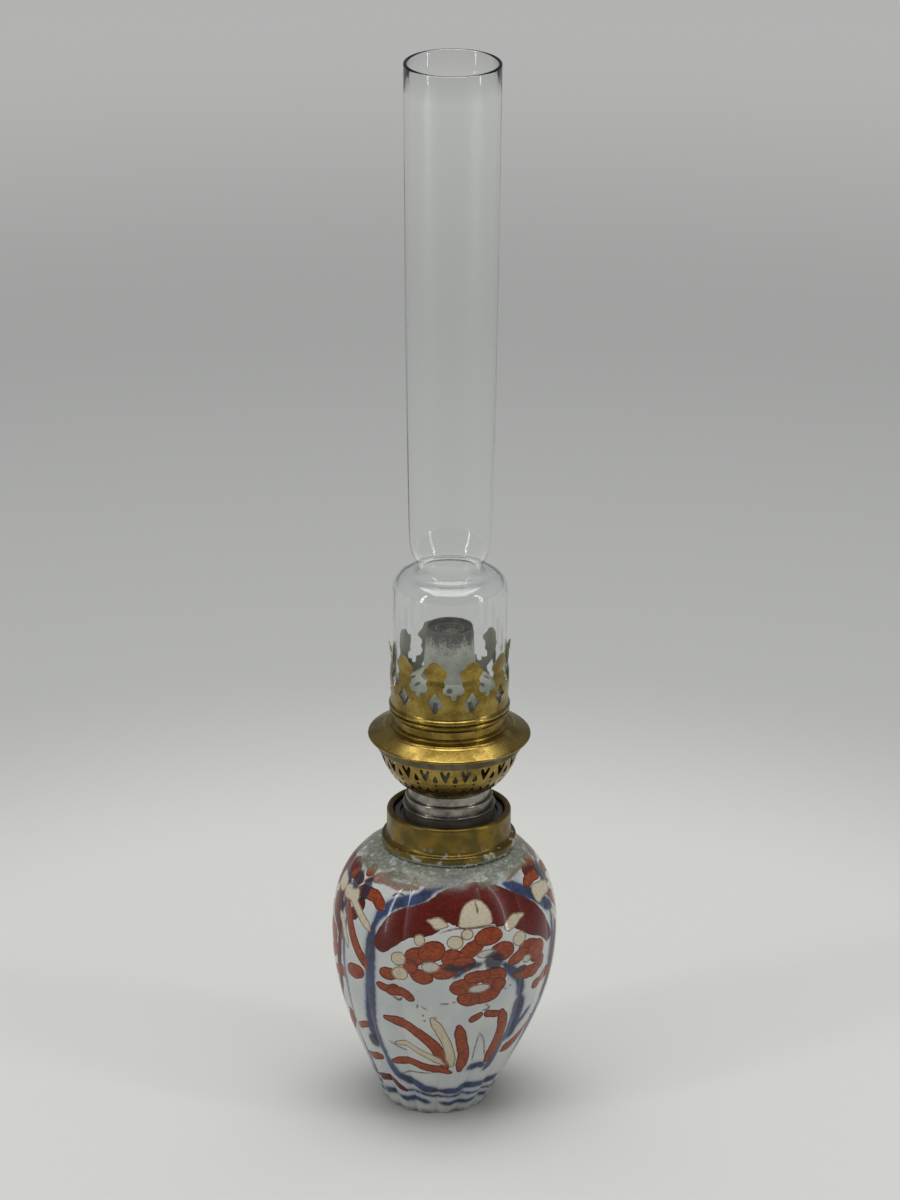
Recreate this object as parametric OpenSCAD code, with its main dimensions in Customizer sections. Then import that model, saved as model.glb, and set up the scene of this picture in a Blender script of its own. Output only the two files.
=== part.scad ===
// Round-wick oil table lamp: a lobed porcelain vase with a cemented brass collar, a drop-in
// oil font, a screwed burner with pierced basket, a sprung gallery crown and a glass chimney.
// Millimetres, +Z up. The origin is on the burner's axis at the level the foot stands on.

/* [Vase] */
// Height of the shoulder where the collar stands
shoulder_h = 113; // [95:1:135]
// Radius of the foot on the table
foot_r = 21.6; // [19:0.2:26]
// Largest radius, over the crests of the lobes
belly_r = 46.3; // [40:0.5:56]
// Height of the largest radius
belly_h = 77; // [66:1:84]
// Outer radius of the shoulder under the collar
shoulder_r = 26.2; // [26:0.1:27]
// Thickness of the porcelain
wall = 3; // [2.2:0.1:4]
// Number of lobes round the body
lobes = 12; // [8:1:16]
// Depth of the creases between lobes at the foot
lobe_depth = 1.1; // [0.4:0.1:1.6]
// How far the body sits off the burner's axis, as the hand-made vase does
body_shift = 1.5; // [0:0.1:2]
// How much further the foot leans the same way
foot_lean = 3.2; // [0:0.1:3.6]

/* [Neck and collar] */
// Bore of the porcelain neck that the font drops through
neck_bore_r = 21.2; // [20.9:0.1:21.5]
// Height of the porcelain neck over the shoulder
neck_h = 11.9; // [10.5:0.1:14]
// Outer radius of the brass collar
collar_r = 25.2; // [25.1:0.1:26]
// Outer radius of the collar's foot
collar_foot_r = 27.4; // [27.2:0.1:28.5]
// Thickness of the collar's sheet
collar_t = 0.5; // [0.4:0.05:0.8]

/* [Font] */
// Outer radius of the oil font
font_r = 20.5; // [19.9:0.1:20.7]
// Depth of the font under its rim
font_depth = 84; // [60:1:96]
// Thickness of the font's sheet
font_t = 0.6; // [0.4:0.05:1]
// Bore of the threaded ring in the font's lid
thread_r = 17.75; // [17.4:0.05:18]

/* [Burner] */
// Height of the nickel ring, from its lower end to the basket
ring_h = 14; // [12:0.5:17]
// Radius of the basket at its foot
basket_foot_r = 17; // [16.6:0.1:18]
// Radius of the basket at its mouth
basket_r = 29; // [27.5:0.1:30]
// Height of the basket
basket_h = 21.4; // [19.5:0.1:23]
// Thickness of the burner's brass sheet
sheet_t = 0.5; // [0.35:0.05:0.7]
// Number of pierced units round the basket
basket_units = 21; // [16:1:24]
// Outer radius of the wick tube at its mouth
wick_tube_r = 9.45; // [9.2:0.05:9.8]
// Height of the wick tube's mouth over the basket's foot
wick_tube_h = 69.2; // [66:0.2:72]
// Outer radius of the inner draught tube
draught_r = 5.9; // [5.2:0.1:6.2]

/* [Wick and spindle] */
// Thickness of the woven wick
wick_t = 2.6; // [1.8:0.1:2.7]
// Length of wick hanging under the burner ring
wick_tail = 70; // [30:1:80]
// Radius of the spindle
spindle_r = 1.2; // [0.9:0.05:1.4]
// Radius of the spiked wheels that feed the wick
wheel_r = 3.6; // [3.2:0.1:4]
// Radius of the milled knob
knob_r = 6.4; // [5:0.1:7]
// How far the spindle reaches from the burner's axis
spindle_reach = 49.6; // [46:0.2:56]

/* [Gallery] */
// Outer radius of the gallery's rolled rim
rim_r = 32.9; // [31.5:0.1:34]
// Height of the gallery, from the basket's mouth to the crown's seat
gallery_h = 12.8; // [12:0.1:15]
// Number of prongs on the crown
prongs = 10; // [8:1:12]
// Height of the crown
crown_h = 27.8; // [26:0.2:31]
// Thickness of the crown's spring brass
crown_t = 0.35; // [0.25:0.05:0.45]

/* [Chimney] */
// Outer radius of the glass at its foot
glass_foot_r = 23; // [22:0.1:24]
// Height of the whole chimney
chimney_h = 269.3; // [230:1:300]
// Height of the straight foot of the chimney
glass_foot_h = 50; // [46:0.5:60]
// Outer radius of the drawn-in waist
glass_waist_r = 13.05; // [12:0.1:15]
// Outer radius of the glass at its mouth
glass_top_r = 19.36; // [18:0.1:21]
// Thickness of the glass
glass_t = 1.5; // [1:0.1:1.8]

/* [Hidden] */
$fn = 96;

// Clearances: between fixed round pieces, round running pieces, and pieces set on each other
fit = 0.1;
run_fit = 0.05;
seat = 0.3;

// Colours
porcelain_c = [0.88, 0.9, 0.92];
cement_c = [0.55, 0.56, 0.48];
old_brass_c = [0.5, 0.38, 0.16];
brass_c = [0.72, 0.55, 0.2];
nickel_c = [0.66, 0.65, 0.62];
zinc_c = [0.5, 0.5, 0.49];
patina_c = [0.65, 0.67, 0.56];
glass_c = [0.8, 0.88, 0.88, 0.3];

// Vase: steps round a lobe and the form of its side
lobe_steps = 6;
foot_flare = 22;
foot_pull = 20.7;
belly_pull_low = 32.5;
belly_pull_up = 15.1;
shoulder_slope = 16;
shoulder_pull = 14;
foot_edge = 0.7;
foot_ring_w = 3;
foot_recess = 2.2;
floor_t = 4.5;
lean_h = 85;
side_steps = 9;
neck_wall = 2;
neck_round = 0.5;

// Levels from the table up
cement_t = 1.5;
neck_top = shoulder_h + neck_h;
collar_z = shoulder_h + cement_t;
lid_z = neck_top + seat;
lid_t = 1.6;
lid_r = neck_bore_r + 0.95;
collar_roll = 1.35;
collar_top = lid_z + lid_t + collar_roll + 0.6;
font_z = lid_z - font_depth;
ring_up = 4.1;
thread_top = lid_z + lid_t + ring_up;
ledge_t = 0.9;
ledge_w = 2.15;
thread_z = lid_z - 3.1;
washer_z = thread_z + ledge_t;
washer_t = 1.4;
ring_z = washer_z + washer_t + 0.1;
basket_z = ring_z + ring_h;
flange_z = basket_z + basket_h + seat;
crown_z = flange_z + gallery_h;
deck_z = crown_z + sheet_t;
glass_z = deck_z + seat;

// Wick works
wick_bore_r = draught_r + 0.3;
wick_r = wick_bore_r + wick_t;
tube_mouth = basket_z + wick_tube_h;
tube_low_r = wick_tube_r + 2.15;
tube_t = 0.4;
spindle_z = basket_z + 13;
wheel_gap = 0.15;
spindle_x = -(wick_r + wheel_gap + wheel_r);
wheel_teeth = 12;
wheel_w = 1.2;
wheel_y = 2.6;
wheel_window = 2 * wheel_y + 2 * wheel_w + 2;
duct_w = 7;
duct_h = 10;
duct_z = basket_z + 9;
duct_t = 0.4;
wick_slot_w = duct_w + 1.6;
wick_drop = 12;
wick_rise = 4;

function unit(v) = v / norm(v);
function reverse(list) = [for (i = [len(list) - 1 : -1 : 0]) list[i]];

// Points of a cubic curve from a to d, pulled towards b and c
function bez(a, b, c, d, n) = [
    for (i = [0 : n])
        let (t = i / n, s = 1 - t)
        s * s * s * a + 3 * s * s * t * b + 3 * s * t * t * c + t * t * t * d
];

// Points of an arc from angle a0 to angle a1
function arc(c, r, a0, a1, n) = [
    for (i = [0 : n])
        let (a = a0 + (a1 - a0) * i / n)
        c + r * [cos(a), sin(a)]
];

// The line t to the left of an open path, which makes a sheet's other face
function left_of(p, t) = [
    for (i = [0 : len(p) - 1])
        let (
            before = unit(i > 0 ? p[i] - p[i - 1] : p[1] - p[0]),
            after = unit(i < len(p) - 1 ? p[i + 1] - p[i] : p[i] - p[i - 1]),
            n0 = [-before[1], before[0]],
            mid = unit(n0 + [-after[1], after[0]])
        )
        p[i] + t / max(0.4, mid * n0) * mid
];

// A spun sheet: path is its outer face from bottom to top, t its thickness
module spun_sheet(path, t) {
    rotate_extrude()
        polygon(concat(path, reverse(left_of(path, t))));
}

module ring(r_in, r_out, z0, z1) {
    rotate_extrude()
        polygon([[r_in, z0], [r_out, z0], [r_out, z1], [r_in, z1]]);
}

// Copies of children at even turns about the axis, facing -Y; turn is the first one's azimuth
module around(count, turn = 0) {
    for (i = [0 : count - 1])
        rotate([0, 0, turn + i * 360 / count])
            children();
}

// A flat outline in (across, height) pushed out along -Y from radius r0 to r1
module radial_cut(r0, r1) {
    translate([0, -r0, 0])
        rotate([90, 0, 0])
            linear_extrude(height = r1 - r0)
                children();
}

// Both halves of an outline that is symmetric about its upright axis, given the right half
function mirrored(half) = concat(half, [for (p = reverse(half)) [-p[0], p[1]]]);

// Vase: centre line, lobes and side profile

function lean_x(z) = -(body_shift + foot_lean * pow(max(0, 1 - z / lean_h), 2));

function lobe_at(z) = lobe_depth * pow(max(0, 1 - z / shoulder_h), 0.35);

// Radius lost at angle a from a crest: none at the crest, the whole depth at a crease
function lobe_loss(a, z) = lobe_at(z) * (1 - pow(abs(sin(lobes / 2 * a)), 0.8));

function side_profile(inset, z0) = bez(
    [foot_r - inset, z0],
    [foot_r - inset + foot_pull * sin(foot_flare), z0 + foot_pull * cos(foot_flare)],
    [belly_r - inset, belly_h - belly_pull_low],
    [belly_r - inset, belly_h], side_steps
);

function top_profile(inset, end_r, z1) = bez(
    [belly_r - inset, belly_h],
    [belly_r - inset, belly_h + belly_pull_up],
    [end_r + shoulder_pull * cos(shoulder_slope), z1 - shoulder_pull * sin(shoulder_slope)],
    [end_r, z1], side_steps
);

function tail(list) = [for (i = [1 : len(list) - 1]) list[i]];

// Rings as [radius, height, lobed, on the burner's axis]
function outer_rings() = concat(
    [
        [foot_r - foot_ring_w - foot_recess / 2, foot_recess, 0, 0],
        [foot_r - foot_ring_w, 0, 0, 0],
        [foot_r - foot_edge, 0, 1, 0]
    ],
    [for (p = side_profile(0, foot_edge)) [p[0], p[1], 1, 0]],
    [for (p = tail(top_profile(0, shoulder_r, shoulder_h))) [p[0], p[1], 1, 0]],
    [
        [neck_bore_r + neck_wall, shoulder_h, 0, 1],
        [neck_bore_r + neck_wall, neck_top - neck_round, 0, 1],
        [neck_bore_r + neck_wall - neck_round, neck_top, 0, 1]
    ]
);

function inner_rings() = concat(
    [
        [neck_bore_r, neck_top, 0, 1],
        [neck_bore_r, shoulder_h - wall, 0, 1]
    ],
    [for (p = reverse(top_profile(wall, neck_bore_r + 2, shoulder_h - wall))) [p[0], p[1], 0, 0]],
    [for (p = tail(reverse(side_profile(wall, foot_recess + floor_t)))) [p[0], p[1], 0, 0]]
);

module vase() {
    rings = concat(outer_rings(), inner_rings());
    steps = lobes * lobe_steps;
    count = len(rings);
    points = concat(
        [
            for (q = rings)
                for (k = [0 : steps - 1])
                    let (
                        a = k * 360 / steps,
                        r = q[0] - (q[2] > 0 ? lobe_loss(a, q[1]) : 0),
                        cx = q[3] > 0 ? 0 : lean_x(q[1])
                    )
                    [cx + r * sin(a), -r * cos(a), q[1]]
        ],
        [
            [lean_x(0), 0, rings[0][1]],
            [lean_x(0), 0, rings[count - 1][1]]
        ]
    );
    low = count * steps;
    high = low + 1;
    last = (count - 1) * steps;
    faces = concat(
        [for (k = [0 : steps - 1]) [low, k, (k + 1) % steps]],
        [
            for (j = [0 : count - 2])
                for (k = [0 : steps - 1])
                    for (half = [0, 1])
                        let (
                            a = j * steps + k,
                            b = j * steps + (k + 1) % steps,
                            c = b + steps,
                            d = a + steps
                        )
                        half == 0 ? [a, c, b] : [a, d, c]
        ],
        [for (k = [0 : steps - 1]) [high, last + (k + 1) % steps, last + k]]
    );
    color(porcelain_c)
        polyhedron(points = points, faces = faces, convexity = 8);
}

// Plaster between the neck and the collar, squeezed out under the collar's foot
module cement_bed() {
    inner = neck_bore_r + neck_wall + fit;
    color(cement_c)
        rotate_extrude()
            polygon([
                [inner, shoulder_h + fit],
                [shoulder_r - 2.2, shoulder_h + fit],
                [collar_foot_r - 0.6, collar_z],
                [collar_r - collar_t - fit, collar_z],
                [collar_r - collar_t - fit, neck_top - 1],
                [inner, neck_top - 1]
            ]);
}

// Spun brass collar: flared foot with a bead, straight wall, and a top rolled inwards
module collar() {
    roll_r = collar_roll;
    roll_z = collar_top - roll_r;
    path = concat(
        [[collar_foot_r, collar_z], [collar_foot_r, collar_z + 1.6]],
        arc([collar_foot_r - 0.8, collar_z + 1.9], 0.7, 10, 90, 3),
        bez([collar_foot_r - 1.2, collar_z + 2.6], [collar_r + 0.4, collar_z + 2.8],
            [collar_r, collar_z + 3.2], [collar_r, collar_z + 4.2], 4),
        arc([collar_r - roll_r, roll_z], roll_r, 0, 180, 10),
        [[collar_r - 2 * roll_r, roll_z - 0.5]]
    );
    color(old_brass_c)
        spun_sheet(path, collar_t);
}

// Font: a spun cup that hangs in the vase by its lid

module font_shell() {
    round_r = 6;
    path = concat(
        [[0, font_z], [font_r - round_r, font_z]],
        arc([font_r - round_r, font_z + round_r], round_r, -80, 0, 6),
        [[font_r, lid_z]]
    );
    color(zinc_c)
        spun_sheet(path, font_t);
}

module font_lid() {
    groove_r = thread_r + 2.15;
    color(zinc_c)
        rotate_extrude()
            polygon([
                [thread_r + 0.85, lid_z],
                [lid_r, lid_z],
                [lid_r, lid_z + lid_t - 0.4],
                [lid_r - 0.4, lid_z + lid_t],
                [groove_r, lid_z + lid_t],
                [groove_r, lid_z + 0.4],
                [thread_r + 0.85, lid_z + 0.4]
            ]);
}

// Threaded ring of the font; its bore takes the burner's ring and its ledge the washer
module font_thread_ring() {
    outer = thread_r + 0.75;
    color(nickel_c)
        rotate_extrude()
            polygon(concat(
                [
                    [thread_r - ledge_w, thread_z],
                    [outer, thread_z],
                    [outer, thread_top - 1.2]
                ],
                arc([outer - 0.1, thread_top - 0.5], 0.5, -60, 90, 5),
                [
                    [thread_r, thread_top],
                    [thread_r, washer_z],
                    [thread_r - ledge_w, washer_z]
                ]
            ));
}

// Leather washer that the burner's ring screws down on
module sealing_washer() {
    color([0.4, 0.27, 0.17])
        ring(thread_r - ledge_w + 0.2, thread_r - 0.3, washer_z + 0.05, washer_z + washer_t);
}

// Burner ring: the threaded skirt, its round shoulder, and the neck that carries the basket
module burner_ring() {
    skirt_r = thread_r - run_fit;
    neck_r = basket_foot_r - 0.5;
    skirt_h = 10.4;
    color(nickel_c)
        rotate_extrude()
            polygon(concat(
                [[skirt_r - 1.1, ring_z], [skirt_r, ring_z]],
                arc([skirt_r - 0.6, ring_z + skirt_h - 0.6], 0.6, 0, 90, 4),
                arc([neck_r + 0.4, ring_z + skirt_h + 0.4], 0.4, 270, 180, 3),
                [
                    [neck_r, basket_z],
                    [neck_r - 3, basket_z],
                    [neck_r - 3, basket_z - 0.6],
                    [neck_r - 0.9, basket_z - 0.6],
                    [neck_r - 0.9, ring_z + skirt_h - 0.8],
                    [skirt_r - 1.1, ring_z + skirt_h - 1.4]
                ]
            ));
}

// Outer face of the basket's bowl, from its foot to its mouth
bowl_mouth_z = basket_z + 18.6;
function bowl() = bez(
    [basket_foot_r, basket_z + 0.5],
    [basket_foot_r + 5.2, basket_z + 3.2],
    [basket_r - 2.6, basket_z + 8.2],
    [basket_r, bowl_mouth_z], 10
);

// Pierced holes of the basket, as outlines over the basket's foot
function heart_hole() = let (low = basket_z + 11.2) mirrored([
    [0, low],
    [0.75, low + 1.3],
    [1.95, low + 4.4],
    [2.05, low + 5.4],
    [1.6, low + 6.1],
    [1.05, low + 5.9],
    [0, low + 3.7]
]);

function drop_hole() = let (low = basket_z + 11.1) mirrored(concat(
    arc([0, low + 1.1], 1.1, -90, 10, 4),
    [[0.75, low + 2.4], [0, low + 3.9]]
));

function dot_hole() = arc([0, basket_z + 9.7], 0.62, 0, 315, 7);

function tent_hole() = let (low = basket_z + 5.1) mirrored([
    [0, low + 0.5],
    [1.65, low],
    [0.6, low + 1.7],
    [0, low + 3.3]
]);

function bell_hole() = let (low = basket_z + 6.2) mirrored([
    [0, low],
    [0.75, low + 0.3],
    [0.95, low + 1],
    [0.35, low + 1.4],
    [0, low + 2.2]
]);

heart_turn = -3.2;

module basket() {
    floor_r = basket_foot_r - 4;
    path = concat(
        [[floor_r, basket_z], [basket_foot_r - 0.4, basket_z]],
        bowl(),
        [[basket_r, flange_z - seat]]
    );
    unit_turn = 360 / basket_units;
    color(brass_c)
        difference() {
            spun_sheet(path, sheet_t);
            around(basket_units, heart_turn) {
                radial_cut(14, basket_r + 2) {
                    polygon(heart_hole());
                    polygon(tent_hole());
                }
                rotate([0, 0, unit_turn / 2])
                    radial_cut(14, basket_r + 2) {
                        polygon(drop_hole());
                        polygon(dot_hole());
                        polygon(bell_hole());
                    }
            }
            gland_hole();
        }
}

gland_r = 2.3;
gland_bore_r = spindle_r + run_fit;
gland_y = sqrt(pow(basket_r - 1.2, 2) - pow(spindle_x, 2));

module gland_hole() {
    translate([spindle_x, gland_y - 5, spindle_z])
        rotate([-90, 0, 0])
            cylinder(r = gland_r + run_fit, h = 10);
}

// Bush that carries the spindle through the basket's wall
module spindle_gland() {
    color(brass_c)
        translate([spindle_x, gland_y, spindle_z])
            rotate([-90, 0, 0])
                difference() {
                    union() {
                        translate([0, 0, -3])
                            cylinder(r = gland_r, h = 6.4);
                        translate([0, 0, 1.8])
                            cylinder(r = gland_r + 1, h = 1.2);
                    }
                    translate([0, 0, -4])
                        cylinder(r = gland_bore_r, h = 9);
                }
}

// Plate that closes the burner over the font and holds the wick tube
floor_plate_t = 0.8;
module burner_floor() {
    color(brass_c)
        ring(tube_low_r + fit, basket_foot_r - 1.2, basket_z + sheet_t, basket_z + sheet_t + floor_plate_t);
}

// Wick tube: straight below, drawn in to a slightly tapered mouth
function tube_path() = concat(
    [[tube_low_r, ring_z - 1], [tube_low_r, basket_z + 22]],
    [
        [tube_low_r - 0.35, basket_z + 40],
        [tube_low_r - 0.75, basket_z + 48],
        [wick_tube_r + 0.85, basket_z + 54],
        [wick_tube_r, tube_mouth - 0.6],
        [wick_tube_r - 0.15, tube_mouth]
    ]
);

module wick_tube() {
    color(patina_c)
        difference() {
            spun_sheet(tube_path(), tube_t);
            translate([spindle_x - 3, -wheel_window / 2, spindle_z - 5])
                cube([8, wheel_window, 10]);
            translate([draught_r, -duct_w / 2 - fit, duct_z - fit])
                cube([10, duct_w + 2 * fit, duct_h + 2 * fit]);
        }
}

// Inner tube that brings air to the middle of the flame, closed at its foot
module draught_tube() {
    foot = duct_z - 1;
    color(patina_c)
        difference() {
            rotate_extrude()
                polygon([
                    [0, foot],
                    [draught_r, foot],
                    [draught_r, tube_mouth - 1.2],
                    [draught_r - tube_t, tube_mouth - 1.2],
                    [draught_r - tube_t, foot + tube_t],
                    [0, foot + tube_t]
                ]);
            translate([0, -duct_w / 2 - fit, duct_z - fit])
                cube([10, duct_w + 2 * fit, duct_h + 2 * fit]);
        }
}

// Flat duct from the side of the wick tube to the draught tube
module draught_duct() {
    length = tube_low_r - draught_r + 1.6;
    color(patina_c)
        translate([draught_r - 1.3, -duct_w / 2, duct_z])
            difference() {
                cube([length, duct_w, duct_h]);
                translate([-1, duct_t, duct_t])
                    cube([length + 2, duct_w - 2 * duct_t, duct_h - 2 * duct_t]);
            }
}

// Bracket on the wick tube with the spindle's two inner bearings
module spindle_bracket() {
    ear_t = 1.2;
    ear_y = wheel_window / 2 + 0.3;
    ear_h = 6.4;
    near_x = -sqrt(pow(tube_low_r, 2) - pow(ear_y, 2)) - fit;
    far_x = spindle_x - gland_bore_r - 1.4;
    bridge_t = 0.9;
    bridge_z = spindle_z - ear_h / 2 - 2;
    bridge_w = 2 * (ear_y + ear_t);
    color(brass_c)
        difference() {
            union() {
                for (side = [-1, 1])
                    translate([far_x, side * (ear_y + ear_t / 2) - ear_t / 2, bridge_z])
                        cube([near_x - far_x, ear_t, ear_h + 2]);
                translate([far_x - 1.8, -bridge_w / 2, bridge_z])
                    cube([3, bridge_w, bridge_t]);
            }
            translate([spindle_x, -ear_y - 4, spindle_z])
                rotate([-90, 0, 0])
                    cylinder(r = gland_bore_r, h = 2 * ear_y + 8);
        }
}

// Spindle and what turns with it

module spindle() {
    back = wheel_window / 2 + 2.5;
    color(brass_c)
        translate([spindle_x, -back, spindle_z])
            rotate([-90, 0, 0])
                cylinder(r = spindle_r, h = back + spindle_reach - 1.2);
}

// Two spiked wheels soldered to the spindle
module wick_wheels() {
    root_r = wheel_r - 0.9;
    spikes = [
        for (i = [0 : 2 * wheel_teeth - 1])
            let (a = i * 180 / wheel_teeth, r = i % 2 == 0 ? wheel_r : root_r)
            [r * cos(a), r * sin(a)]
    ];
    color(brass_c)
        for (side = [-1, 1])
            translate([spindle_x, side * wheel_y - wheel_w / 2, spindle_z])
                rotate([-90, 0, 0])
                    difference() {
                        linear_extrude(height = wheel_w)
                            polygon(spikes);
                        translate([0, 0, -1])
                            cylinder(r = spindle_r, h = wheel_w + 2);
                    }
}

// Milled brass knob with a dished face
module knob() {
    width = 3.4;
    cuts = 24;
    milled = [
        for (i = [0 : 2 * cuts - 1])
            let (a = i * 180 / cuts, r = i % 2 == 0 ? knob_r : knob_r - 0.35)
            [r * cos(a), r * sin(a)]
    ];
    color(brass_c)
        translate([spindle_x, spindle_reach - width - 0.4, spindle_z])
            rotate([-90, 0, 0])
                difference() {
                    union() {
                        linear_extrude(height = width)
                            polygon(milled);
                        translate([0, 0, -2])
                            cylinder(r = 2.4, h = 3);
                    }
                    translate([0, 0, -3])
                        cylinder(r = spindle_r, h = width + 4);
                    translate([0, 0, width - 0.6])
                        cylinder(r = knob_r - 1.4, h = 2);
                }
}

// Riveted end of the spindle in the knob's dish
module knob_rivet() {
    color(brass_c)
        translate([spindle_x, spindle_reach - 1, spindle_z])
            rotate([-90, 0, 0])
                union() {
                    cylinder(r = 2.1, h = 0.6);
                    translate([0, 0, 0.5])
                        cylinder(r1 = 1.8, r2 = 1, h = 0.5);
                }
}

// Wick: one band rolled into a sleeve, open along the duct's side below, hanging in the font
module wick() {
    low = ring_z - wick_tail;
    slot_top = duct_z + duct_h + wick_drop + 1.5;
    color([0.8, 0.77, 0.7])
        difference() {
            ring(wick_bore_r, wick_r, low, tube_mouth - 1.6);
            translate([0, -wick_slot_w / 2, low - 1])
                cube([wick_r + 2, wick_slot_w, slot_top - low + 1]);
        }
}

// Gallery: spun flange with neck, beads and rolled rim
module gallery_flange() {
    neck_r = glass_foot_r - 0.5;
    top = crown_z;
    step_z = flange_z + 5.3;
    path = concat(
        [[basket_r - 1.2, flange_z]],
        arc([rim_r - 0.75, flange_z + 0.75], 0.75, -90, 70, 7),
        [[rim_r - 6, step_z - 1.3]],
        arc([neck_r + 3.3, step_z - 0.9], 0.6, 0, 90, 4),
        arc([neck_r + 0.9, step_z + 0.5], 0.6, -40, 80, 4),
        [[neck_r, step_z + 1.6], [neck_r, top - 3.1]],
        arc([neck_r + 0.75, top - 1.1], 1, -75, 90, 7),
        [[neck_r - 0.4, top]]
    );
    color(brass_c)
        spun_sheet(path, sheet_t);
}

// Band under the flange that slips over the basket's mouth
module gallery_skirt() {
    skirt_h = 3.5;
    color(nickel_c)
        ring(basket_r + run_fit, basket_r + run_fit + 0.6, flange_z - skirt_h, flange_z);
}

// Domed plate that spreads the air and gives the glass its seat
deck_r = glass_foot_r - glass_t - 0.5;
deck_wall_h = 4.6;
deck_h = 13;
deck_hole_ring_r = tube_low_r + 3.2;
function deck_path() = concat(
    [[glass_foot_r + 0.2, deck_z], [deck_r + 0.2, deck_z], [deck_r, deck_z + 0.4]],
    bez([deck_r, deck_z + deck_wall_h], [deck_r - 1.2, deck_z + 0.73 * deck_h],
        [deck_hole_ring_r, deck_z + 0.97 * deck_h], [tube_low_r - 0.2, deck_z + deck_h], 9)
);

module air_deck() {
    side_slots = 18;
    slot_w = 2;
    slot_h = 3.6;
    top_holes = 12;
    top_hole_r = 1.3;
    color(patina_c)
        difference() {
            spun_sheet(deck_path(), sheet_t);
            around(side_slots, prong_turn)
                radial_cut(deck_r - 4, deck_r + 2)
                    translate([-slot_w / 2, deck_z + deck_wall_h])
                        square([slot_w, slot_h]);
            around(top_holes)
                translate([0, -deck_hole_ring_r, deck_z])
                    cylinder(r = top_hole_r, h = deck_h + 2);
        }
}

// Crown: sheet with a bead at its foot, drawn in at the waist and flared at the tips
wall_r = glass_foot_r + 0.35 + crown_t;
waist_z = crown_z + 19.6;
function crown_path() = concat(
    [[wall_r - 0.1, crown_z]],
    arc([wall_r - 0.45, crown_z + 1.3], 1.25, -60, 60, 6),
    [[wall_r, crown_z + 3]],
    bez([wall_r, crown_z + 6], [wall_r + 0.55, crown_z + 12],
        [wall_r + 0.5, waist_z - 3], [wall_r - 0.2, waist_z - 0.3], 5),
    bez([wall_r - 0.2, waist_z + 0.3], [wall_r + 0.1, waist_z + 3],
        [wall_r + 0.4, waist_z + 5], [wall_r + 0.9, crown_z + crown_h], 4)
);

// Half of the opening between two prongs: notch, round foot, crease, side lobe and tip lobe
function prong_gap(half_pitch) = let (
        tip = [half_pitch, crown_z + crown_h - 2.9],
        lobe = [half_pitch - 2.7, waist_z + 3.2],
        foot = [2.3, waist_z - 3.8],
        notch = [0, waist_z - 6.9]
    ) concat(
        arc(notch, 1.2, -90, 20, 4),
        arc(foot, 2.1, -115, 50, 6),
        [[half_pitch - 3.95, waist_z - 1.2], [half_pitch - 3.5, waist_z]],
        arc(lobe, 2.3, 240, 115, 6),
        arc(tip, 2.9, 165, 90, 5),
        [[half_pitch, crown_z + crown_h + 2]]
    );

// Kite-shaped hole under each prong, with hollow lower sides
function kite_hole() = let (low = crown_z + 5.4) mirrored([
    [0, low],
    [0.9, low + 0.5],
    [1.5, low + 2.3],
    [3.6, low + 4.1],
    [1, low + 7.6],
    [0, low + 9.2]
]);

prong_turn = 4;

module crown() {
    half_pitch = PI * wall_r / prongs;
    color(brass_c)
        difference() {
            spun_sheet(crown_path(), crown_t);
            around(prongs, prong_turn)
                radial_cut(wall_r - 5, wall_r + 4)
                    polygon(mirrored(prong_gap(half_pitch)));
            around(prongs, prong_turn + 180 / prongs)
                radial_cut(wall_r - 5, wall_r + 4)
                    polygon(kite_hole());
        }
}

// Chimney: straight foot, rounded shoulder, drawn-in waist and a slowly widening tube
module chimney() {
    shoulder = 7;
    bend_z = glass_z + glass_foot_h;
    waist = bend_z + shoulder + 2.2;
    tube_r = glass_waist_r + 3.55;
    path = concat(
        [[glass_foot_r, glass_z]],
        arc([glass_foot_r - shoulder, bend_z], shoulder, 0, 88, 9),
        bez([glass_foot_r - shoulder - 0.6, bend_z + shoulder],
            [glass_waist_r + 1.2, bend_z + shoulder + 0.2],
            [glass_waist_r, waist - 1.4],
            [glass_waist_r, waist], 5),
        tail(bez([glass_waist_r, waist], [glass_waist_r, waist + 2.8],
            [tube_r - 0.3, waist + 5.3], [tube_r, waist + 12.8], 8)),
        tail(bez([tube_r, waist + 12.8], [tube_r + 0.7, waist + 28.8],
            [glass_top_r - 0.96, waist + 96], [glass_top_r, glass_z + chimney_h], 10))
    );
    color(glass_c)
        spun_sheet(path, glass_t);
}

vase();
cement_bed();
collar();
font_shell();
font_lid();
font_thread_ring();
sealing_washer();
burner_ring();
basket();
burner_floor();
wick_tube();
draught_tube();
draught_duct();
spindle_bracket();
spindle_gland();
spindle();
wick_wheels();
knob();
knob_rivet();
wick();
gallery_flange();
gallery_skirt();
air_deck();
crown();
chimney();
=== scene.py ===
# %% [markdown]
# # An oil lamp with a painted porcelain vase
# The construction of the lamp is a fixed frame of CAD solids: every piece is already in its place
# and at its real size. This lesson gives that frame its looks. Pieces whose solids are good enough
# only get a finish. The vase, the glass, the wick and the plaster are made again as finer meshes in
# the same space, because a solid can't hold their paint, their curves or their grain.

import math

import bpy
import numpy as np
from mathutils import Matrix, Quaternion, Vector


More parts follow.
